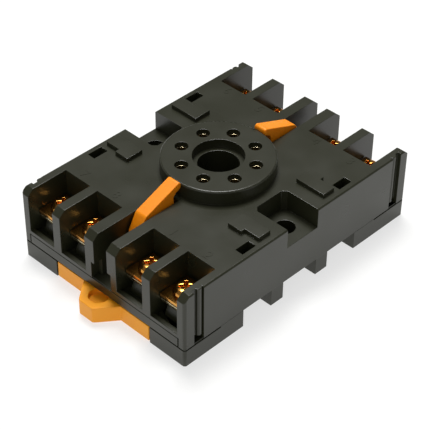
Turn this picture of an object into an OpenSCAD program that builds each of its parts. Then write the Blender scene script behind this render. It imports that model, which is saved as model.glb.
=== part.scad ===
// Plug-in relay socket, eight pins, screw terminals, for a 35 mm rail or two panel screws.
// Millimetres. The origin is on the standing surface, under the centre of the pin circle.
// X runs along the length, terminals 7, 8, 1 and 2 are at the -X end, and Z is up.

/* [Body] */
// Length over the two terminal ends
body_l = 70; // [66:0.5:84]
// Width over the two long sides
body_w = 50; // [47:0.5:62]
// Height of the main face above the standing surface
face_z = 18.8; // [17.8:0.1:22]
// Radius of the upright corners
corner_r = 0.7; // [0.3:0.1:1.2]
// Slope of the end walls' tops: length along X
end_slope_l = 1.6; // [0.6:0.1:2.2]
// Slope of the end walls' tops: drop at the end face
end_slope_h = 1.4; // [0.6:0.1:2]
// Bevel along the long top edges
top_bevel = 0.3; // [0.1:0.1:0.8]
// Thickness of the main face above the hollow
face_t = 2.5; // [1.5:0.1:3]

/* [Boss] */
// Radius of the raised round boss
boss_r = 12.85; // [12.2:0.05:13.2]
// Height of the boss above the main face
boss_h = 3.4; // [2.5:0.1:5]
// Rounding of the boss rim
boss_rim = 0.45; // [0.2:0.05:1]
// Radius of the pin circle
pin_circle_r = 8.725; // [8.6:0.025:8.9]
// Number of pins on the circle
pin_count = 8; // [8:1:8]
// Radius of each pin hole in the boss
pin_hole_r = 1.5; // [1.4:0.05:1.6]
// Radius of the key hole that guides the relay's spigot
key_r = 4.65; // [4.3:0.05:5]
// Radius of the wide mouth of the key hole
key_mouth_r = 5.8; // [5.2:0.05:6.3]
// Depth of the wide mouth
key_mouth_depth = 2.2; // [1:0.1:3]
// Depth of the key hole below the boss top
key_depth = 11.5; // [9:0.1:12]
// Width of the keyway
keyway_w = 2.3; // [1.8:0.1:3]
// Depth of the keyway beyond the key hole
keyway_depth = 0.9; // [0.5:0.1:1.1]
// Wall round the key hole
key_wall = 1.4; // [1:0.1:1.6]
// Height of the solid disc that carries the pin sleeves, from the boss top down
disc_h = 9.6; // [8.6:0.1:9.8]

/* [Terminal pockets] */
// Depth of a pocket from the end face
pocket_depth = 10.9; // [10.6:0.1:12]
// Wall beside the outer pockets
side_wall = 2.2; // [1.8:0.1:3]
// Rib between two pockets
rib_t = 2.4; // [1.6:0.1:3]
// Wall between a lever channel and its pocket
channel_wall = 2.8; // [2.2:0.1:3.4]
// Thickness of the wall behind the pockets
back_wall = 1.8; // [1.2:0.1:2.5]
// Height of the shelf under the terminals above the base plate
shelf_h = 3.6; // [3:0.1:4.2]
// Seat under a terminal: gap on both sides
seat_gap = 1.4; // [1:0.1:1.5]
// Seat under a terminal: distance of its top edge from the end face
seat_inset = 4; // [3.6:0.1:4.2]
// Seat under a terminal: reach of its sloped front
seat_slope_l = 1.2; // [0.8:0.1:1.5]
// Seat under a terminal: height of its sloped front
seat_slope_h = 2.7; // [2:0.1:3]
// Height of the sill across a pocket's mouth
sill_h = 1; // [0.6:0.1:2]
// Thickness of the sill
sill_t = 1.2; // [0.8:0.1:1.6]

/* [Terminals] */
// Distance of the screws from the end face
screw_inset = 6.5; // [6.3:0.1:7]
// Radius of the screw's shank
shank_r = 1.5; // [1.4:0.05:1.7]
// Length of the screw under its head
shank_l = 5.5; // [5:0.1:5.7]
// Radius of the screw head
head_r = 2.8; // [2.5:0.05:3.2]
// Height of the screw head
head_h = 1.9; // [1.5:0.1:2.2]
// Span of the cross recess
cross_span = 3.2; // [2.4:0.1:4]
// Width of the cross recess's arms
cross_w = 0.8; // [0.5:0.05:1.1]
// Depth of the cross recess
cross_depth = 1.2; // [0.6:0.1:1.4]
// Length of the clamp plate along X
clamp_l = 7.8; // [7.2:0.1:8]
// Thickness of the clamp plate
clamp_t = 0.8; // [0.6:0.1:1]
// Gap for the wire with the clamp closed
wire_gap = 0.5; // [0.3:0.1:0.9]
// Height that the screw and its clamp rise when the clamp is opened
clamp_rise = 2.5; // [1.5:0.1:2.8]
// Thickness of the contact strip
strip_t = 0.8; // [0.6:0.1:1]
// Width of the contact strip inside the housing
strip_w = 2.4; // [2:0.1:2.6]
// Height of the tapped collar under the terminal plate
collar_h = 1.2; // [0.8:0.1:1.8]
// Wall of the tapped collar
collar_wall = 0.5; // [0.4:0.1:0.6]
// Bore radius of the sleeves that take the relay's pins
sleeve_r = 1.22; // [1.15:0.01:1.3]
// Depth of the sleeves below the boss top
sleeve_inset = 1.2; // [0.4:0.1:2]

/* [Ejector levers] */
// Width of the lever channels
channel_w = 4; // [3.6:0.1:4.6]
// Distance of the channels' inner ends from the middle
channel_end = 14.1; // [13.6:0.1:14.3]
// Width of the levers
lever_w = 3.2; // [2.6:0.1:3.4]
// Distance of the pivots from the middle
pivot_x = 21; // [20.4:0.1:21.6]
// Depth of the pivots below the main face
pivot_drop = 6.3; // [5.9:0.1:6.6]
// Radius of the levers' trunnions
trunnion_r = 1.2; // [1:0.05:1.4]
// Length of a trunnion beyond the side of its lever
trunnion_l = 1.2; // [0.9:0.1:1.8]
// Radius of the hub round the trunnions
hub_r = 2.7; // [2.2:0.1:3]
// Gap between the lever's nose and the boss
nose_gap = 0.12; // [0.08:0.01:0.2]
// Height of the nose above the main face
nose_rise = 4.2; // [3.9:0.1:4.6]
// Height of the nose's upright front
nose_depth = 1.5; // [1.2:0.1:1.8]
// Rounding over the nose
nose_round = 0.6; // [0.4:0.1:0.8]
// Thickness of the lever's arm under the nose
arm_depth = 2.1; // [1.8:0.1:2.4]
// Reach of a lever's tail beyond its pivot
tail_reach = 5; // [4.4:0.1:5.4]
// Drop of the tail's far point below the main face
tail_drop = 6.6; // [6:0.1:7]
// Wider lower part of a channel's mouth: width
mouth_w = 6; // [5:0.1:7]
// Wider lower part of a channel's mouth: height
mouth_h = 4.3; // [3:0.1:6]
// Wider lower part of a channel's mouth: depth
mouth_depth = 2.2; // [1:0.1:3]

/* [Side notches] */
// Width of the notches for the panel screws
notch_w = 9.5; // [8:0.1:12]
// Depth of a notch from the long side
notch_depth = 9.8; // [8:0.1:10]
// Height of a notch's floor
notch_floor_z = 13.9; // [12:0.1:15]
// Bevel of the notches' inner corners
notch_bevel = 1; // [0.4:0.1:2]
// Distance of the panel screw holes from the long side
panel_hole_inset = 5; // [4.8:0.1:6]
// Radius of the panel screw holes
panel_hole_r = 2.25; // [1.8:0.05:2.6]

/* [Details of the main face] */
// Locating blocks: height
block_h = 1.05; // [0.5:0.05:2]
// Locating blocks: distance of the inner side from the middle, along X
block_x = 8.25; // [7.5:0.05:8.6]
// Locating blocks: length of the wide step
block_l = 4.6; // [4:0.1:4.7]
// Locating blocks: how much the narrow step is shorter
block_step = 1.1; // [0.6:0.1:1.4]
// Locating blocks: distance of the inner side from the middle, along Y
block_y = 15.35; // [15:0.05:16]
// Locating blocks: width of the wide step
block_wide = 3.85; // [3:0.05:4.2]
// Locating blocks: width over both steps
block_w = 7.85; // [7:0.05:8.4]
// Snap windows: distance of the near side from the middle, along X
window_x = 13.1; // [13:0.05:13.6]
// Snap windows: length
window_l = 3.85; // [3.4:0.05:4.2]
// Snap windows: width
window_w = 2.05; // [1.9:0.05:2.1]
// Snap windows: distance of the outer side from the long side
window_inset = 1.4; // [1.2:0.05:1.6]
// Corner grooves: distance of the middle from the end face
groove_inset = 4.15; // [3.8:0.05:4.6]
// Corner grooves: width
groove_w = 2.7; // [2.4:0.1:3.2]
// Corner grooves: depth
groove_depth = 0.9; // [0.5:0.05:1.2]
// Corner grooves: radius of the rib that stands in them
groove_rib_r = 0.75; // [0.4:0.05:0.8]

/* [Base plate and feet] */
// Height of the feet below the base plate
foot_h = 4.6; // [4.2:0.1:5.4]
// Thickness of the base plate
plate_t = 2.4; // [2:0.1:3]
// Skirt of the housing beside the base plate
skirt_t = 1.8; // [1.6:0.1:2]
// Clearance between the base plate and the skirt
skirt_gap = 0.3; // [0.1:0.05:0.4]
// Width of the slot for the rail
rail_slot = 35.4; // [35.2:0.1:36]
// Height of the rail's flange slot
flange_slot = 1.3; // [1.1:0.1:1.6]
// Reach of the hooks under the rail's flange
hook_reach = 1.5; // [1:0.1:2]
// Inner feet: distance of their inner side from the middle
inner_foot_x = 5.2; // [4.9:0.1:6]
// Inner feet: length
inner_foot_l = 3.8; // [3:0.1:4.4]
// Inner feet: width
inner_foot_w = 7.8; // [6:0.1:9]
// Inner feet: inset from the long side
inner_foot_inset = 0.2; // [0.1:0.1:1]
// Line along the joint between housing and feet: depth
joint_line = 0.3; // [0.1:0.05:0.4]
// Line along the joint between housing and feet: length from the end face
joint_line_l = 10.5; // [8:0.5:16]

/* [Rail slider] */
// Width of the slider
slider_w = 28.6; // [26:0.2:30]
// Sideways clearance of the slider in its guides
slider_gap = 0.3; // [0.15:0.05:0.5]
// Clearance above and below the slider
slider_lift = 0.25; // [0.2:0.05:0.4]
// Travel that frees the rail
slider_travel = 3; // [2:0.1:3.4]
// Thumb tab: length beyond the end face
tab_l = 4.7; // [3:0.1:7]
// Thumb tab: width where it leaves the slider
tab_root_w = 11.6; // [9:0.2:14]
// Thumb tab: width at its front
tab_front_w = 4.6; // [3:0.2:7]
// Thumb tab: radius of the finger hollow in its top
tab_hollow_r = 2.3; // [1.5:0.1:3]
// Length of the slider's body behind the end face
slider_body_l = 9; // [7:0.1:10]
// Width of the slider's tongue
tongue_w = 12; // [9:0.2:14]
// Thickness of the spring arms
arm_t = 1; // [0.8:0.1:1.3]
// Height of the stop bumps at the ends of the spring arms
bump_h = 1; // [0.6:0.1:1.2]
// Thickness of the ledges that the slider's runners rest on
ledge_t = 0.8; // [0.5:0.1:1.2]

/* [Hidden] */
$fn = 64;
eps = 0.01;

end_x = body_l / 2;
side_y = body_w / 2;
deck_z = foot_h + plate_t;
boss_z = face_z + boss_h;
shelf_z = deck_z + shelf_h;
skirt_y = side_y - skirt_t;

channel_y = channel_w / 2;
pocket_w = (side_y - side_wall - rib_t - channel_wall - channel_y) / 2;
pocket_back_x = end_x - pocket_depth;
inner_pocket_y = channel_y + channel_wall + pocket_w / 2;
outer_pocket_y = side_y - side_wall - pocket_w / 2;
hollow_x = pocket_back_x - back_wall;
hollow_y = side_y - side_wall - window_w - 0.2;
hollow_z = face_z - face_t;
boss_floor_z = boss_z - disc_h;
seat_x = end_x - seat_inset;

screw_x = end_x - screw_inset;
strip_z = shelf_z;
strip_top_z = strip_z + strip_t;
clamp_z = strip_top_z + wire_gap;
head_z = clamp_z + clamp_t;
fit = 0.05;
clamp_gap = 0.2;
collar_r = shank_r + fit + collar_wall;
sleeve_wall_r = pin_hole_r - fit;
pin_step = 360 / pin_count;
// room inside the hollow: end of the middle part, and the outer contacts' way round the notches
link_x = channel_end - back_wall;
post_x = notch_w / 2 + back_wall + clamp_gap + strip_w / 2;
outer_lane_y = side_y - notch_depth - back_wall - clamp_gap - strip_w / 2;

pivot_z = face_z - pivot_drop;
trunnion_y = lever_w / 2 + trunnion_l;

window_mid_x = window_x + window_l / 2;
window_mid_y = side_y - window_inset - window_w / 2;
ledge_z = notch_floor_z;
panel_hole_y = side_y - panel_hole_inset;

foot_x = rail_slot / 2;
guide_y = slider_w / 2 + slider_gap;
hook_z = foot_h - flange_slot;
bump_x = end_x - slider_body_l - 3;
runner_x = end_x - slider_travel - 2;
groove_z = slider_lift + ledge_t;

// Terminal numbers run 7, 8, 1, 2 along the -X end and 6, 5, 4, 3 along the +X end.
TERMINALS = [
    [1, -1, -1, false], [2, -1, -1, true], [3, 1, -1, true], [4, 1, -1, false],
    [5, 1, 1, false], [6, 1, 1, true], [7, -1, 1, true], [8, -1, 1, false]
];

// ---------------------------------------------------------------- shared shapes

// A block between two opposite corners
module block(low, high) {
    translate(low) cube(high - low);
}

// A rectangle with round corners, centred
module round_rect(l, w, r) {
    square([l - 2 * r, w], center = true);
    square([l, w - 2 * r], center = true);
    for (sx = [-1, 1], sy = [-1, 1])
        translate([sx * (l / 2 - r), sy * (w / 2 - r)]) circle(r);
}

// Copies at both ends, mirrored
module both_ends() {
    for (m = [0, 1]) mirror([m, 0, 0]) children();
}

// Copies in all four corners, mirrored
module four_corners() {
    for (mx = [0, 1], my = [0, 1])
        mirror([mx, 0, 0]) mirror([0, my, 0]) children();
}

// A flat bar with round ends from p to q
module bar(p, q, w) {
    d = q - p;
    translate(p) {
        rotate(atan2(d[1], d[0])) translate([0, -w / 2]) square([norm(d), w]);
        circle(w / 2);
    }
    translate(q) circle(w / 2);
}

// ---------------------------------------------------------------- housing

module boss_solid() {
    rotate_extrude()
        union() {
            square([boss_r, boss_z - boss_rim - boss_floor_z]);
            translate([0, boss_z - boss_rim - boss_floor_z])
                square([boss_r - boss_rim, boss_rim]);
            translate([boss_r - boss_rim, boss_z - boss_rim - boss_floor_z])
                circle(boss_rim);
        }
}

// L-shaped locating block in the +X +Y corner
module locating_block() {
    block([block_x, block_y, face_z - eps],
          [block_x + block_l, block_y + block_wide, face_z + block_h]);
    block([block_x, block_y, face_z - eps],
          [block_x + block_l - block_step, block_y + block_w, face_z + block_h]);
}

// One terminal pocket at the +X end, open at the top and at the end face
module pocket(y) {
    w = pocket_w / 2;
    block([pocket_back_x, y - w, shelf_z], [end_x - sill_t, y + w, face_z + 1]);
    // room in front of the seat and on both sides of it
    translate([0, y, 0]) rotate([90, 0, 0]) linear_extrude(pocket_w, center = true)
        polygon([[seat_x, shelf_z + 1], [seat_x, shelf_z], [seat_x + seat_slope_l, shelf_z - seat_slope_h],
                 [seat_x + seat_slope_l, deck_z - 1], [end_x - sill_t, deck_z - 1],
                 [end_x - sill_t, shelf_z + 1]]);
    for (s = [-1, 1])
        translate([0, y + s * (w - seat_gap / 2), 0])
            block([screw_x - head_r, -seat_gap / 2, deck_z - 1],
                  [end_x - sill_t, seat_gap / 2, shelf_z + 1]);
    block([end_x - sill_t - 1, y - w, deck_z + sill_h], [end_x + 1, y + w, face_z + 1]);
}

// Room in the shelf for the screw's collar and shank, and the slot for the strip
module terminal_room(y) {
    translate([screw_x, y, shelf_z - collar_h - 0.1]) cylinder(h = collar_h + 1, r = collar_r + fit);
    translate([screw_x, y, deck_z - 1]) cylinder(h = shelf_h, r = shank_r + 0.3);
    block([hollow_x - 1, y - strip_w / 2 - fit, strip_z - fit],
          [pocket_back_x + 1, y + strip_w / 2 + fit, strip_top_z + fit]);
}

module lever_channel() {
    block([channel_end, -channel_y, deck_z - 1], [end_x + 1, channel_y, boss_z + 1]);
    block([end_x - mouth_depth, -mouth_w / 2, deck_z - 1],
          [end_x + 1, mouth_w / 2, deck_z + mouth_h]);
    translate([pivot_x, 0, pivot_z])
        rotate([90, 0, 0]) cylinder(h = 2 * (trunnion_y + 0.1), r = trunnion_r + fit, center = true);
}

module side_notch() {
    y0 = side_y - notch_depth;
    w = notch_w / 2;
    translate([0, 0, notch_floor_z]) linear_extrude(face_z)
        polygon([[-w + notch_bevel, y0], [w - notch_bevel, y0], [w, y0 + notch_bevel],
                 [w, side_y + 1], [-w, side_y + 1], [-w, y0 + notch_bevel]]);
}

module snap_window() {
    x0 = window_x;
    y1 = side_y - window_inset;
    block([x0, y1 - window_w, ledge_z], [x0 + window_l, y1, face_z + 1]);
    block([x0, y1 - window_w, deck_z - 1], [x0 + window_l, y1 - 0.6, ledge_z + 1]);
}

module corner_groove() {
    x = end_x - groove_inset;
    difference() {
        union() {
            block([x - groove_w / 2, side_y - groove_depth, deck_z - 1],
                  [x + groove_w / 2, side_y + 1, face_z + 1]);
            block([x - groove_w / 2, side_y - skirt_t + 0.1, foot_h - 1],
                  [x + groove_w / 2, side_y + 1, deck_z - 1]);
        }
        translate([x - groove_w / 2 + groove_rib_r + fit, side_y - groove_depth, deck_z - 1])
            cylinder(h = face_z, r = groove_rib_r);
    }
}

// The hollow under the face, open to the base plate
module hollow() {
    y0 = channel_y + channel_wall;
    difference() {
        union() {
            for (m = [0, 1]) mirror([0, m, 0])
                block([-hollow_x, y0, deck_z - 1], [hollow_x, hollow_y, hollow_z]);
            block([-link_x, -y0 - 1, deck_z - 1], [link_x, y0 + 1, boss_floor_z]);
        }
        translate([0, 0, boss_floor_z]) cylinder(h = boss_z, r = boss_r - boss_rim);
        translate([0, 0, boss_z - key_depth - key_wall]) cylinder(h = key_depth, r = key_r + key_wall);
        for (m = [0, 1]) mirror([0, m, 0])
            block([-notch_w / 2 - back_wall, side_y - notch_depth - back_wall, 0],
                  [notch_w / 2 + back_wall, side_y, face_z]);
    }
}

module housing() {
    color("#3e4036")
    difference() {
        union() {
            translate([0, 0, foot_h]) linear_extrude(face_z - foot_h)
                round_rect(body_l, body_w, corner_r);
            translate([0, 0, boss_floor_z]) boss_solid();
            four_corners() locating_block();
        }
        // recess for the base plate, open at both ends
        block([-end_x - 1, -skirt_y, 0], [end_x + 1, skirt_y, deck_z]);
        // sloped tops of the end walls and bevels of the long edges
        both_ends() translate([end_x, 0, face_z]) rotate([90, 0, 0])
            linear_extrude(body_w + 2, center = true)
                polygon([[-end_slope_l, 0], [0, -end_slope_h], [1, -end_slope_h], [1, 1], [-end_slope_l, 1]]);
        for (m = [0, 1]) mirror([0, m, 0]) translate([0, side_y, face_z]) rotate([90, 0, 90])
            linear_extrude(body_l + 2, center = true)
                polygon([[-top_bevel, 0], [0, -top_bevel], [1, -top_bevel], [1, 1], [-top_bevel, 1]]);
        hollow();
        four_corners() {
            pocket(inner_pocket_y);
            pocket(outer_pocket_y);
            terminal_room(inner_pocket_y);
            terminal_room(outer_pocket_y);
            snap_window();
            corner_groove();
        }
        both_ends() lever_channel();
        for (m = [0, 1]) mirror([0, m, 0]) {
            side_notch();
            translate([0, panel_hole_y, 0]) cylinder(h = face_z, r = panel_hole_r);
        }
        // key hole with its wide mouth and the keyway on the -X side
        translate([0, 0, boss_z - key_depth]) cylinder(h = key_depth + 1, r = key_r);
        translate([0, 0, boss_z - key_mouth_depth]) cylinder(h = boss_h, r = key_mouth_r);
        block([-key_r - keyway_depth, -keyway_w / 2, boss_z - key_depth],
              [0, keyway_w / 2, boss_z]);
        for (i = [0 : pin_count - 1]) rotate((i + 0.5) * pin_step)
            translate([pin_circle_r, 0, boss_floor_z - 1]) cylinder(h = boss_z, r = pin_hole_r);
    }
}

// ---------------------------------------------------------------- base plate

// Foot in the +X +Y corner
module end_foot() {
    block([foot_x, guide_y, 0], [end_x, side_y, foot_h]);
}

module inner_foot() {
    y1 = side_y - inner_foot_inset;
    block([inner_foot_x, y1 - inner_foot_w, 0], [inner_foot_x + inner_foot_l, y1, foot_h]);
}

// Snap arm that rises into a window and hooks over its ledge
module snap_arm() {
    y1 = side_y - window_inset;
    x0 = window_x + clamp_gap;
    x1 = window_x + window_l - clamp_gap;
    block([x0, y1 - window_w + clamp_gap, deck_z - eps], [x1, y1 - 0.8, ledge_z + 1.4]);
    translate([x0, 0, ledge_z + fit]) rotate([90, 0, 90]) linear_extrude(x1 - x0)
        polygon([[y1 - 0.8 - eps, 0], [y1 - 0.2, 0], [y1 - 0.8 - eps, 1.35]]);
}

module base_plate() {
    color("#3a3c38")
    difference() {
        union() {
            block([-end_x, -skirt_y + skirt_gap, foot_h], [end_x, skirt_y - skirt_gap, deck_z]);
            four_corners() {
                end_foot();
                inner_foot();
                snap_arm();
            }
            // fixed hook at the +X side of the rail
            block([foot_x, -slider_w / 2, 0], [foot_x + 5, slider_w / 2, foot_h]);
            block([foot_x - hook_reach, -slider_w / 2, 0], [foot_x + 1, slider_w / 2, hook_z]);
        }
        // upright corners follow the housing's
        difference() {
            block([-end_x - 1, -side_y - 1, -1], [end_x + 1, side_y + 1, foot_h]);
            translate([0, 0, -2]) linear_extrude(face_z) round_rect(body_l, body_w, corner_r);
        }
        for (m = [0, 1]) mirror([0, m, 0]) {
            translate([0, panel_hole_y, 0]) cylinder(h = face_z, r = panel_hole_r);
            // fine line along the joint with the housing
            both_ends() block([end_x - joint_line_l, side_y - joint_line, foot_h - joint_line],
                              [end_x + 1, side_y + 1, foot_h + 1]);
            // groove that the slider's runner and its stop bump travel in
            block([-runner_x - slider_travel - slider_gap, guide_y - 1, groove_z],
                  [-bump_x + 2 * bump_h + slider_gap, guide_y + bump_h, foot_h]);
        }
        // lines over the feet and under the housing's sill at both end faces
        both_ends() {
            block([end_x - joint_line, -side_y - 1, foot_h - joint_line], [end_x + 1, side_y + 1, foot_h]);
            block([end_x - joint_line, -side_y, deck_z - joint_line / 2], [end_x + 1, side_y, deck_z + 1]);
        }
        // hollow of the +X foot, open below
        block([foot_x + 5 + eps, -slider_w / 2, -1], [end_x - 2, slider_w / 2, foot_h]);
    }
}

// ---------------------------------------------------------------- rail slider

module thumb_tab() {
    z0 = slider_lift;
    z1 = foot_h - slider_lift;
    r = 0.6;
    difference() {
        translate([0, 0, z0]) linear_extrude(z1 - z0)
            polygon([[-end_x + eps, tab_root_w / 2], [-end_x - tab_l + r, tab_front_w / 2 + r / 2],
                     [-end_x - tab_l, tab_front_w / 2 - r / 2], [-end_x - tab_l, -tab_front_w / 2 + r / 2],
                     [-end_x - tab_l + r, -tab_front_w / 2 - r / 2], [-end_x + eps, -tab_root_w / 2]]);
        translate([-end_x - 0.8, 0, z1 - 1.2]) cylinder(h = 2, r = tab_hollow_r);
    }
}

module rail_slider() {
    z0 = slider_lift;
    z1 = foot_h - slider_lift;
    y1 = slider_w / 2;
    body_x = -end_x + slider_body_l;
    color("#ff9a1e")
    union() {
        difference() {
            block([-end_x, -y1, z0], [body_x, y1, z1]);
            // thumb hollow runs a little way into the body
            translate([-end_x - 0.8, 0, z1 - 1.2]) cylinder(h = 2, r = tab_hollow_r);
            // lightening pockets, open below
            for (m = [0, 1]) mirror([0, m, 0])
                block([-end_x + 2, tongue_w / 2, -1], [body_x - 1.6, y1 - 1.6, z1 - 1.4]);
        }
        thumb_tab();
        // tongue with the moving hook
        block([body_x - eps, -tongue_w / 2, z0], [-foot_x - 0.2, tongue_w / 2, z1]);
        block([-foot_x - 0.2 - eps, -tongue_w / 2, z0], [-foot_x + hook_reach, tongue_w / 2, hook_z]);
        // spring arms with stop bumps, and the runners that carry the slider
        for (m = [0, 1]) mirror([0, m, 0]) {
            block([body_x - eps, y1 - arm_t, z0], [-bump_x + 2 * bump_h, y1, z1]);
            translate([-bump_x + bump_h, y1 - eps, groove_z + 0.1]) linear_extrude(z1 - groove_z - 0.1)
                polygon([[-bump_h, 0], [-bump_h / 2, bump_h], [bump_h / 2, bump_h], [bump_h, 0]]);
            block([-runner_x, y1 - eps, groove_z + 0.1], [-runner_x + 3, y1 + bump_h, z1]);
        }
    }
}

// ---------------------------------------------------------------- ejector levers

// Side outline of a lever at the +X end: X across, height above the main face up
module lever_outline() {
    tip = boss_r + nose_gap;
    neck = tip + arm_depth;
    heel = pivot_x + tail_reach / 2;
    tail = pivot_x + tail_reach;
    polygon([
        [tip, nose_rise - nose_depth], [tip, nose_rise - nose_round],
        [tip + nose_round / 4, nose_rise - nose_round / 3], [tip + nose_round, nose_rise],
        [heel - 0.4, 0.5], [heel, 0], [tail - 0.7, -tail_drop / 2], [tail, -tail_drop],
        [tail - 1.4, -tail_drop - 2], [pivot_x, -pivot_drop - hub_r],
        [pivot_x - hub_r, -pivot_drop], [neck, -arm_depth - 0.5], [neck - 0.2, -0.7],
        [neck, 0.2], [neck, nose_rise - 2 * nose_depth], [neck - nose_round, nose_rise - nose_depth - 0.8]
    ]);
}

module lever() {
    color("#fa8c0a")
    union() {
        rotate([90, 0, 0]) {
            translate([0, face_z, 0]) linear_extrude(lever_w, center = true) lever_outline();
            translate([pivot_x, pivot_z, 0]) {
                cylinder(h = lever_w, r = hub_r, center = true);
                cylinder(h = 2 * trunnion_y, r = trunnion_r, center = true);
            }
        }
    }
}

module lever_far() {
    lever();
}

module lever_near() {
    mirror([1, 0, 0]) lever();
}

// ---------------------------------------------------------------- terminals

module terminal_screw(t) {
    translate([t[1] * screw_x, t[2] * (t[3] ? outer_pocket_y : inner_pocket_y), 0])
    color("#c9a558")
    difference() {
        union() {
            translate([0, 0, head_z - shank_l]) cylinder(h = shank_l + eps, r = shank_r);
            translate([0, 0, head_z]) rotate_extrude() union() {
                square([head_r, head_h * 0.45]);
                polygon([[0, 0], [head_r, head_h * 0.45], [head_r * 0.93, head_h * 0.72],
                         [head_r * 0.74, head_h * 0.92], [head_r * 0.45, head_h], [0, head_h]]);
            }
        }
        for (a = [45, 135]) rotate(a)
            translate([-cross_span / 2, -cross_w / 2, head_z + head_h - cross_depth])
                cube([cross_span, cross_w, cross_depth + 1]);
    }
}

module clamp_plate(t) {
    w = pocket_w - 2 * clamp_gap;
    translate([t[1] * screw_x, t[2] * (t[3] ? outer_pocket_y : inner_pocket_y), clamp_z])
    color("#c8b27a")
    difference() {
        translate([-clamp_l / 2, -w / 2, 0]) cube([clamp_l, w, clamp_t]);
        translate([0, 0, -1]) cylinder(h = 4, r = shank_r + fit);
    }
}

// Contact at the +X +Y quarter: terminal plate, strip and pin sleeve in one piece
module contact_shape(outer) {
    y = outer ? outer_pocket_y : inner_pocket_y;
    plate_w = pocket_w - 2 * clamp_gap;
    a = outer ? pin_step * 1.5 : pin_step * 0.5;
    pin = pin_circle_r * [cos(a), sin(a)];
    path = outer
        ? [[pocket_back_x, y], [post_x, y], [post_x, outer_lane_y], [pin[0], outer_lane_y], pin]
        : [[pocket_back_x, y], [link_x - strip_w / 2, y], pin];
    difference() {
        union() {
            translate([0, 0, strip_z]) linear_extrude(strip_t)
                for (i = [0 : len(path) - 2]) bar(path[i], path[i + 1], strip_w);
            block([pocket_back_x, y - plate_w / 2, strip_z],
                  [screw_x + clamp_l / 2 - clamp_gap, y + plate_w / 2, strip_top_z]);
            translate([screw_x, y, strip_z - collar_h]) cylinder(h = collar_h + eps, r = collar_r);
            translate([pin[0], pin[1], strip_z])
                cylinder(h = boss_z - sleeve_inset - strip_z, r = sleeve_wall_r);
        }
        translate([screw_x, y, 0]) cylinder(h = face_z, r = shank_r + fit);
        translate([pin[0], pin[1], 0]) cylinder(h = boss_z + 1, r = sleeve_r);
    }
}

module contact(t) {
    color("#c9b98a")
    mirror([t[1] < 0 ? 1 : 0, 0, 0]) mirror([0, t[2] < 0 ? 1 : 0, 0]) contact_shape(t[3]);
}

// ---------------------------------------------------------------- nodes

housing();
base_plate();
rail_slider();
lever_near();
lever_far();
for (t = TERMINALS) {
    terminal_screw(t);
    clamp_plate(t);
    contact(t);
}
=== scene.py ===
"""Plug-in relay socket: finishes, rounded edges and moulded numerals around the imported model."""

import math

import bpy
from bpy.props import FloatProperty, FloatVectorProperty, IntProperty, PointerProperty
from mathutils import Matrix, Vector


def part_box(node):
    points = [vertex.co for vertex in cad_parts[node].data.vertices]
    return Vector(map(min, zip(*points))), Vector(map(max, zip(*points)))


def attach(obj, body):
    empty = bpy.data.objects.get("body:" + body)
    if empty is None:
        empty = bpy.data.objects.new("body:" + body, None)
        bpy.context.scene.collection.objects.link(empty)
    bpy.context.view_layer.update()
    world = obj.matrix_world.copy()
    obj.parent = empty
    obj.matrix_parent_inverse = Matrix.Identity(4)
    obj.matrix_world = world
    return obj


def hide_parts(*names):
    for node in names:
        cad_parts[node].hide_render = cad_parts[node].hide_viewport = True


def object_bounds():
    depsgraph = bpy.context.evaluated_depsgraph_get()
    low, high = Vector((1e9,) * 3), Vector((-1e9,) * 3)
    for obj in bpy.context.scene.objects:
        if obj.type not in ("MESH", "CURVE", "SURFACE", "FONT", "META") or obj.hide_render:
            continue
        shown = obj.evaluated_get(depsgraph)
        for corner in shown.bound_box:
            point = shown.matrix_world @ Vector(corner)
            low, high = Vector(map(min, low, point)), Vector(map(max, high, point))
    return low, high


bl_info = {
    "name": "Relay Socket",
    "version": (1, 0, 0),
    "blender": (4, 5, 0),
    "location": "View3D > Sidebar > Relay Socket",
    "description": "Dresses the relay socket's parts: rounded mouldings, plated metal, numerals and a stage",
    "category": "Object",
}

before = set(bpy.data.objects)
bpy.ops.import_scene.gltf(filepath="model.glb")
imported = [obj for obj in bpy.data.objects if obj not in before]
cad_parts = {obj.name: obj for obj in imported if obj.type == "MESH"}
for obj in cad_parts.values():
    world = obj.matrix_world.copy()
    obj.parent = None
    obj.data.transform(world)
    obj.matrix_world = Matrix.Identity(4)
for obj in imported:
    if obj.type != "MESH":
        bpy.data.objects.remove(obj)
cad_low, cad_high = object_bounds()
MM = 0.001
TERMINALS = range(1, 9)

BOSS_HEIGHT = 3.4 * MM
FACE_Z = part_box("housing")[1].z - BOSS_HEIGHT
NUMERAL_STEP = 6.3 * MM      # from a screw's middle inwards to its number
CAP_HEIGHT_SHARE = 0.7       # height of a numeral as a share of the font's size
MERGE_DISTANCE = 0.002 * MM  # corners of the loose triangles that are one corner
FLAT_ANGLE = math.radians(0.3)
SHARP_ANGLE = math.radians(28)
SMOOTH_ANGLE = math.radians(35)

# camera: direction, roll, the point that it looks at, its distance and its lens
CAMERA_AZIMUTH, CAMERA_ELEVATION, CAMERA_ROLL = (math.radians(angle) for angle in (-45.77, 39.70, 0.59))
CAMERA_AIM = Vector((-4.0, -3.0, 9.5)) * MM
CAMERA_DISTANCE = 334 * MM
CAMERA_LENS, CAMERA_SENSOR = 127.4, 36

# lights: place in metres, width in metres, power in watts
KEY_LIGHT = ((0.2, 0.24, 0.92), 0.4, 9.5)
FILL_LIGHT = ((-0.75, -0.35, 0.5), 0.7, 1.2)
SKY_STRENGTH = 0.22
FLOOR_GLOW = 0.68
FLOOR_WIDTH = 6
FLOOR_GAP = 0.02 * MM


def linear(hex_colour):
    """Turn an sRGB hex colour into linear red, green and blue."""
    channels = [int(hex_colour[i:i + 2], 16) / 255 for i in (1, 3, 5)]
    return tuple(c / 12.92 if c <= 0.04045 else ((c + 0.055) / 1.055) ** 2.4 for c in channels)


# ---------------------------------------------------------------- settings

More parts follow.
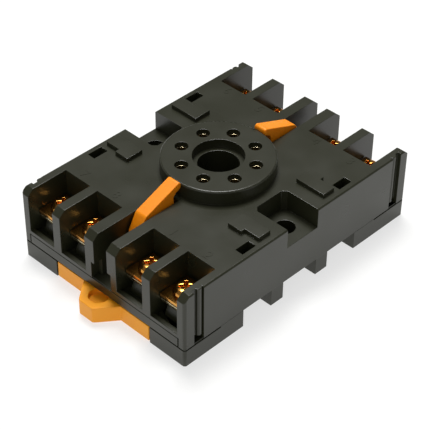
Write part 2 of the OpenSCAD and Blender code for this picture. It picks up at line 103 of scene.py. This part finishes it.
def size_property(name, description, default_mm, **limits):
    """A length in metres, given in millimetres."""
    return FloatProperty(name=name, description=description, default=default_mm * MM, unit="LENGTH", **limits)


def colour_property(name, description, hex_colour):
    """A colour, given as sRGB hex."""
    return FloatVectorProperty(name=name, description=description, default=linear(hex_colour),
                               subtype="COLOR", size=3, min=0, max=1)


class SocketSizes(bpy.types.PropertyGroup):
    """Sizes of the details that dress the socket"""
    moulding_edge: size_property("Moulding edge", "Rounding of the black mouldings' edges", 0.1)
    lever_edge: size_property("Lever edge", "Rounding of the levers' edges", 0.2)
    slider_edge: size_property("Slider edge", "Rounding of the rail slider's edges", 0.2)
    metal_edge: size_property("Metal edge", "Rounding of the stamped and turned metal's edges", 0.08)
    numeral_height: size_property("Numeral height", "Height of the moulded terminal numbers", 2.4)
    numeral_relief: size_property("Numeral relief", "How far the numbers stand above the face", 0.06)
    edge_segments: IntProperty(name="Edge segments", description="Segments in a small rounded edge",
                               default=2, min=1)
    soft_edge_segments: IntProperty(name="Soft edge segments", default=3, min=1,
                                    description="Segments in the levers' and the slider's rounded edges")


class SocketColours(bpy.types.PropertyGroup):
    """Colours of the socket's materials"""
    black: colour_property("Black moulding", "Black plastic of the housing and the base plate", "#28291b")
    lever: colour_property("Lever orange", "Plastic of the ejector levers", "#ff9008")
    slider: colour_property("Slider orange", "Plastic of the rail slider", "#ffa51e")
    passivation: colour_property("Passivation", "Yellow passivated steel of the screws", "#d9a44a")
    contact: colour_property("Contact", "Plated brass of the contacts", "#d8c490")
    floor: colour_property("Floor", "Floor under the socket", "#9a9a98")


# ---------------------------------------------------------------- mesh helpers

def deselect_all():
    """Leave nothing selected."""
    bpy.ops.object.select_all(action="DESELECT")


def take(piece):
    """Make one object the only selected and active one."""
    deselect_all()
    piece.select_set(True)
    bpy.context.view_layer.objects.active = piece


def rounded_copy(node, name, edge, segments, clamped=False):
    """A merged copy of a CAD node whose sharp edges are rounded."""
    piece = bpy.data.objects.new(name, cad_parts[node].data.copy())
    bpy.context.scene.collection.objects.link(piece)
    take(piece)
    bpy.ops.mesh.customdata_custom_splitnormals_clear()
    bpy.ops.object.mode_set(mode="EDIT")
    bpy.ops.mesh.select_all(action="SELECT")
    bpy.ops.mesh.remove_doubles(threshold=MERGE_DISTANCE)
    bpy.ops.mesh.dissolve_limited(angle_limit=FLAT_ANGLE)
    bpy.ops.object.mode_set(mode="OBJECT")
    bevel = piece.modifiers.new("rounded_edges", "BEVEL")
    bevel.limit_method = "ANGLE"
    bevel.angle_limit = SHARP_ANGLE
    bevel.width = edge
    bevel.segments = segments
    bevel.use_clamp_overlap = clamped
    bevel.miter_outer = "MITER_SHARP"
    bpy.ops.object.modifier_apply(modifier=bevel.name)
    # a rounded edge never reaches past the node's own box
    low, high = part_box(node)
    for vertex in piece.data.vertices:
        vertex.co = [min(max(at, least), most) for at, least, most in zip(vertex.co, low, high)]
    bpy.ops.object.shade_smooth_by_angle(angle=SMOOTH_ANGLE)
    shading = piece.modifiers.new("flat_faces_stay_flat", "WEIGHTED_NORMAL")
    shading.keep_sharp = True
    shading.weight = 100
    bpy.ops.object.modifier_apply(modifier=shading.name)
    return piece


def hand_over(piece, body, slot, material, *nodes):
    """Give a finished piece its material and its body, and hide the nodes that it stands for."""
    piece.data.materials.clear()
    piece.data.materials.append(material)
    if nodes:
        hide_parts(*nodes)
    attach(piece, body)


# ---------------------------------------------------------------- materials

def add_node(tree, kind, inputs=None, **settings):
    """Add one shader node with its settings and with values or links on its inputs."""
    made = tree.nodes.new(kind)
    for key, value in settings.items():
        setattr(made, key, value)
    for key, value in (inputs or {}).items():
        if isinstance(value, bpy.types.NodeSocket):
            tree.links.new(value, made.inputs[key])
        else:
            made.inputs[key].default_value = value
    return made


def new_material(name):
    """An empty node material and its tree."""
    material = bpy.data.materials.new(name)
    material.use_nodes = True
    material.node_tree.nodes.clear()
    return material, material.node_tree


def moulded_plastic(name, colour, roughness, grain, ior=1.53, subsurface=0.0):
    """Injection moulded plastic: a satin skin with a fine grain and faint uneven gloss."""
    material, tree = new_material(name)
    place = add_node(tree, "ShaderNodeTexCoord").outputs["Object"]
    skin = add_node(tree, "ShaderNodeTexNoise", {"Vector": place, "Scale": 1 / (0.3 * MM), "Detail": 3.0})
    patches = add_node(tree, "ShaderNodeTexNoise", {"Vector": place, "Scale": 1 / (9 * MM), "Detail": 2.0})
    gloss = add_node(tree, "ShaderNodeMapRange", {
        "Value": patches.outputs["Fac"], "From Min": 0.3, "From Max": 0.7,
        "To Min": roughness * 0.9, "To Max": roughness * 1.12})
    shade = add_node(tree, "ShaderNodeMixRGB", {
        "Fac": patches.outputs["Fac"],
        "Color1": (*[c * 0.92 for c in colour], 1), "Color2": (*[min(c * 1.08, 1) for c in colour], 1)})
    bump = add_node(tree, "ShaderNodeBump", {
        "Height": skin.outputs["Fac"], "Strength": grain, "Distance": 0.02 * MM})
    surface = add_node(tree, "ShaderNodeBsdfPrincipled", {
        "Base Color": shade.outputs["Color"], "Roughness": gloss.outputs["Result"],
        "Normal": bump.outputs["Normal"]})
    surface.inputs["IOR"].default_value = ior
    surface.inputs["Subsurface Weight"].default_value = subsurface
    surface.inputs["Subsurface Radius"].default_value = (1.2 * MM, 0.6 * MM, 0.2 * MM)
    surface.inputs["Subsurface Scale"].default_value = 1.0
    add_node(tree, "ShaderNodeOutputMaterial", {"Surface": surface.outputs["BSDF"]})
    return material


def plated_metal(name, colour, roughness, tint):
    """Plated metal: bright, with the clouded tint and the fine scratches of barrel plating."""
    material, tree = new_material(name)
    place = add_node(tree, "ShaderNodeTexCoord").outputs["Object"]
    clouds = add_node(tree, "ShaderNodeTexNoise", {"Vector": place, "Scale": 1 / (1.6 * MM), "Detail": 3.0})
    scratches = add_node(tree, "ShaderNodeTexNoise", {
        "Vector": place, "Scale": 1 / (0.25 * MM), "Detail": 4.0})
    shade = add_node(tree, "ShaderNodeMixRGB", {
        "Fac": clouds.outputs["Fac"], "Color1": (*colour, 1), "Color2": (*tint, 1)})
    gloss = add_node(tree, "ShaderNodeMapRange", {
        "Value": scratches.outputs["Fac"], "From Min": 0.3, "From Max": 0.7,
        "To Min": roughness * 0.7, "To Max": roughness * 1.35})
    bump = add_node(tree, "ShaderNodeBump", {
        "Height": scratches.outputs["Fac"], "Strength": 0.15, "Distance": 0.02 * MM})
    surface = add_node(tree, "ShaderNodeBsdfPrincipled", {
        "Base Color": shade.outputs["Color"], "Roughness": gloss.outputs["Result"],
        "Normal": bump.outputs["Normal"]})
    surface.inputs["Metallic"].default_value = 1.0
    add_node(tree, "ShaderNodeOutputMaterial", {"Surface": surface.outputs["BSDF"]})
    return material


def floor_paper(colour):
    """Plain matt white paper that glows a little, as a lit table does."""
    material, tree = new_material("floor_paper")
    surface = add_node(tree, "ShaderNodeBsdfPrincipled", {
        "Base Color": (*colour, 1), "Roughness": 0.9,
        "Emission Color": (1, 1, 1, 1), "Emission Strength": FLOOR_GLOW})
    add_node(tree, "ShaderNodeOutputMaterial", {"Surface": surface.outputs["BSDF"]})
    return material


# ---------------------------------------------------------------- operators

class SOCKET_OT_housing(bpy.types.Operator):
    """Round the edges of the black housing and base plate and give them their moulded skin"""
    bl_idname = "socket.housing"
    bl_label = "Housing and Base"

    def execute(self, context):
        sizes, colours = context.scene.socket_sizes, context.scene.socket_colours
        black = moulded_plastic("black_pbt_moulded", colours.black, roughness=0.3, grain=0.25, ior=1.45)
        for node in ("housing", "base_plate"):
            piece = rounded_copy(node, node + "_moulding", sizes.moulding_edge, sizes.edge_segments)
            hand_over(piece, "socket", "black_moulding", black, node)
        return {"FINISHED"}


class SOCKET_OT_numerals(bpy.types.Operator):
    """Raise the eight terminal numbers from the main face"""
    bl_idname = "socket.numerals"
    bl_label = "Terminal Numbers"

    def execute(self, context):
        sizes = context.scene.socket_sizes
        black = bpy.data.materials["black_pbt_moulded"]
        for number in TERMINALS:
            low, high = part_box(f"terminal_screw_{number}")
            screw = (low + high) / 2
            inwards = -NUMERAL_STEP if screw.x > 0 else NUMERAL_STEP
            deselect_all()
            bpy.ops.object.text_add(location=(0, 0, 0))
            text = context.object
            text.data.body = str(number)
            text.data.size = sizes.numeral_height / CAP_HEIGHT_SHARE
            text.data.align_x = "CENTER"
            text.data.align_y = "CENTER"
            text.data.extrude = sizes.numeral_relief / 2
            text.rotation_euler = (0, 0, -math.pi / 2)
            text.location = (screw.x + inwards, screw.y, FACE_Z + sizes.numeral_relief / 2 - 0.01 * MM)
            bpy.ops.object.convert(target="MESH")
            bpy.ops.object.transform_apply(location=True, rotation=True, scale=True)
            text.name = f"numeral_{number}"
            hand_over(text, "socket", "black_moulding", black)
        return {"FINISHED"}


class SOCKET_OT_levers(bpy.types.Operator):
    """Round the two ejector levers and give them their orange plastic"""
    bl_idname = "socket.levers"
    bl_label = "Ejector Levers"

    def execute(self, context):
        sizes, colours = context.scene.socket_sizes, context.scene.socket_colours
        orange = moulded_plastic("orange_pom_lever", colours.lever, roughness=0.42, grain=0.2,
                                 ior=1.36, subsurface=0.1)
        for end in ("near", "far"):
            piece = rounded_copy(f"lever_{end}", f"ejector_lever_{end}", sizes.lever_edge,
                                 sizes.soft_edge_segments, clamped=True)
            hand_over(piece, f"{end}_lever", "orange_lever", orange, f"lever_{end}")
        return {"FINISHED"}


class SOCKET_OT_slider(bpy.types.Operator):
    """Round the rail slider and give it its light orange plastic"""
    bl_idname = "socket.slider"
    bl_label = "Rail Slider"

    def execute(self, context):
        sizes, colours = context.scene.socket_sizes, context.scene.socket_colours
        orange = moulded_plastic("orange_pom_slider", colours.slider, roughness=0.42, grain=0.2,
                                 ior=1.36, subsurface=0.1)
        piece = rounded_copy("rail_slider", "rail_slider_moulding", sizes.slider_edge,
                             sizes.soft_edge_segments)
        hand_over(piece, "slider", "orange_slider", orange, "rail_slider")
        return {"FINISHED"}


class SOCKET_OT_terminals(bpy.types.Operator):
    """Finish the screws, clamp plates and contacts"""
    bl_idname = "socket.terminals"
    bl_label = "Terminals"

    def execute(self, context):
        sizes, colours = context.scene.socket_sizes, context.scene.socket_colours
        steel = plated_metal("zinc_yellow_passivated", colours.passivation, 0.15, linear("#b9763a"))
        brass = plated_metal("plated_brass", colours.contact, 0.15, linear("#e6dcc0"))
        segments = sizes.edge_segments
        for number in TERMINALS:
            screw = rounded_copy(f"terminal_screw_{number}", f"screw_{number}", sizes.metal_edge, segments)
            hand_over(screw, f"clamp_{number}", "passivated_steel", steel, f"terminal_screw_{number}")
            plate = rounded_copy(f"clamp_plate_{number}", f"clamp_{number}", sizes.metal_edge, segments)
            hand_over(plate, f"clamp_{number}", "passivated_steel", steel, f"clamp_plate_{number}")
            contact = rounded_copy(f"contact_{number}", f"contact_strip_{number}", sizes.metal_edge, segments)
            hand_over(contact, "socket", "contact_metal", brass, f"contact_{number}")
        return {"FINISHED"}


class SOCKET_OT_stage(bpy.types.Operator):
    """Set the floor, the lights and the camera"""
    bl_idname = "socket.stage"
    bl_label = "Stage"

    def execute(self, context):
        scene = context.scene
        colours = scene.socket_colours
        deselect_all()
        bpy.ops.mesh.primitive_plane_add(size=FLOOR_WIDTH, location=(0, 0, cad_low.z - FLOOR_GAP))
        floor = context.object
        floor.name = "studio_floor"
        floor.data.materials.append(floor_paper(colours.floor))
        scene.world = bpy.data.worlds.new("studio")
        scene.world.use_nodes = True
        background = scene.world.node_tree.nodes["Background"]
        background.inputs["Color"].default_value = (1, 1, 1, 1)
        background.inputs["Strength"].default_value = SKY_STRENGTH
        add_light("key_softbox", *KEY_LIGHT)
        add_light("fill_softbox", *FILL_LIGHT)
        scene.view_settings.view_transform = "Standard"
        add_camera(scene)
        return {"FINISHED"}


def add_light(name, place, size, power):
    """An area light that looks at the socket."""
    deselect_all()
    bpy.ops.object.light_add(type="AREA", location=place)
    light = bpy.context.object
    light.name = name
    light.data.size = size
    light.data.energy = power
    light.rotation_euler = (-Vector(place)).to_track_quat("-Z", "Y").to_euler()
    return light


def add_camera(scene):
    """The camera, turned about the point that it looks at."""
    level = math.cos(CAMERA_ELEVATION)
    back = Vector((math.sin(CAMERA_AZIMUTH) * level, -math.cos(CAMERA_AZIMUTH) * level,
                   math.sin(CAMERA_ELEVATION)))
    deselect_all()
    bpy.ops.object.camera_add(location=CAMERA_AIM + back * CAMERA_DISTANCE)
    camera = bpy.context.object
    camera.name = "studio_camera"
    camera.data.lens = CAMERA_LENS
    camera.data.sensor_width = CAMERA_SENSOR
    camera.data.clip_start = 0.01
    camera.rotation_euler = back.to_track_quat("Z", "Y").to_euler()
    camera.rotation_euler.rotate_axis("Z", CAMERA_ROLL)
    scene.camera = camera
    return camera


class SOCKET_PT_panel(bpy.types.Panel):
    """Lists the steps that dress the socket"""
    bl_label = "Relay Socket"
    bl_idname = "SOCKET_PT_panel"
    bl_space_type = "VIEW_3D"
    bl_region_type = "UI"
    bl_category = "Relay Socket"

    def draw(self, context):
        for step in STEPS:
            self.layout.operator(step.bl_idname)
        for group in (context.scene.socket_sizes, context.scene.socket_colours):
            box = self.layout.box()
            for key in group.bl_rna.properties.keys():
                if key not in ("rna_type", "name"):
                    box.prop(group, key)


STEPS = (SOCKET_OT_housing, SOCKET_OT_numerals, SOCKET_OT_levers, SOCKET_OT_slider,
         SOCKET_OT_terminals, SOCKET_OT_stage)
CLASSES = (SocketSizes, SocketColours, *STEPS, SOCKET_PT_panel)


def register():
    """Register the classes and hang the settings on the scene."""
    for each in CLASSES:
        bpy.utils.register_class(each)
    bpy.types.Scene.socket_sizes = PointerProperty(type=SocketSizes)
    bpy.types.Scene.socket_colours = PointerProperty(type=SocketColours)


def unregister():
    """Take the settings and the classes away again."""
    del bpy.types.Scene.socket_colours
    del bpy.types.Scene.socket_sizes
    for each in reversed(CLASSES):
        bpy.utils.unregister_class(each)


def main():
    """Dress the socket step by step."""
    register()
    deselect_all()
    bpy.ops.socket.housing()
    bpy.ops.socket.numerals()
    bpy.ops.socket.levers()
    bpy.ops.socket.slider()
    bpy.ops.socket.terminals()
    bpy.ops.socket.stage()


if __name__ == "__main__":
    main()
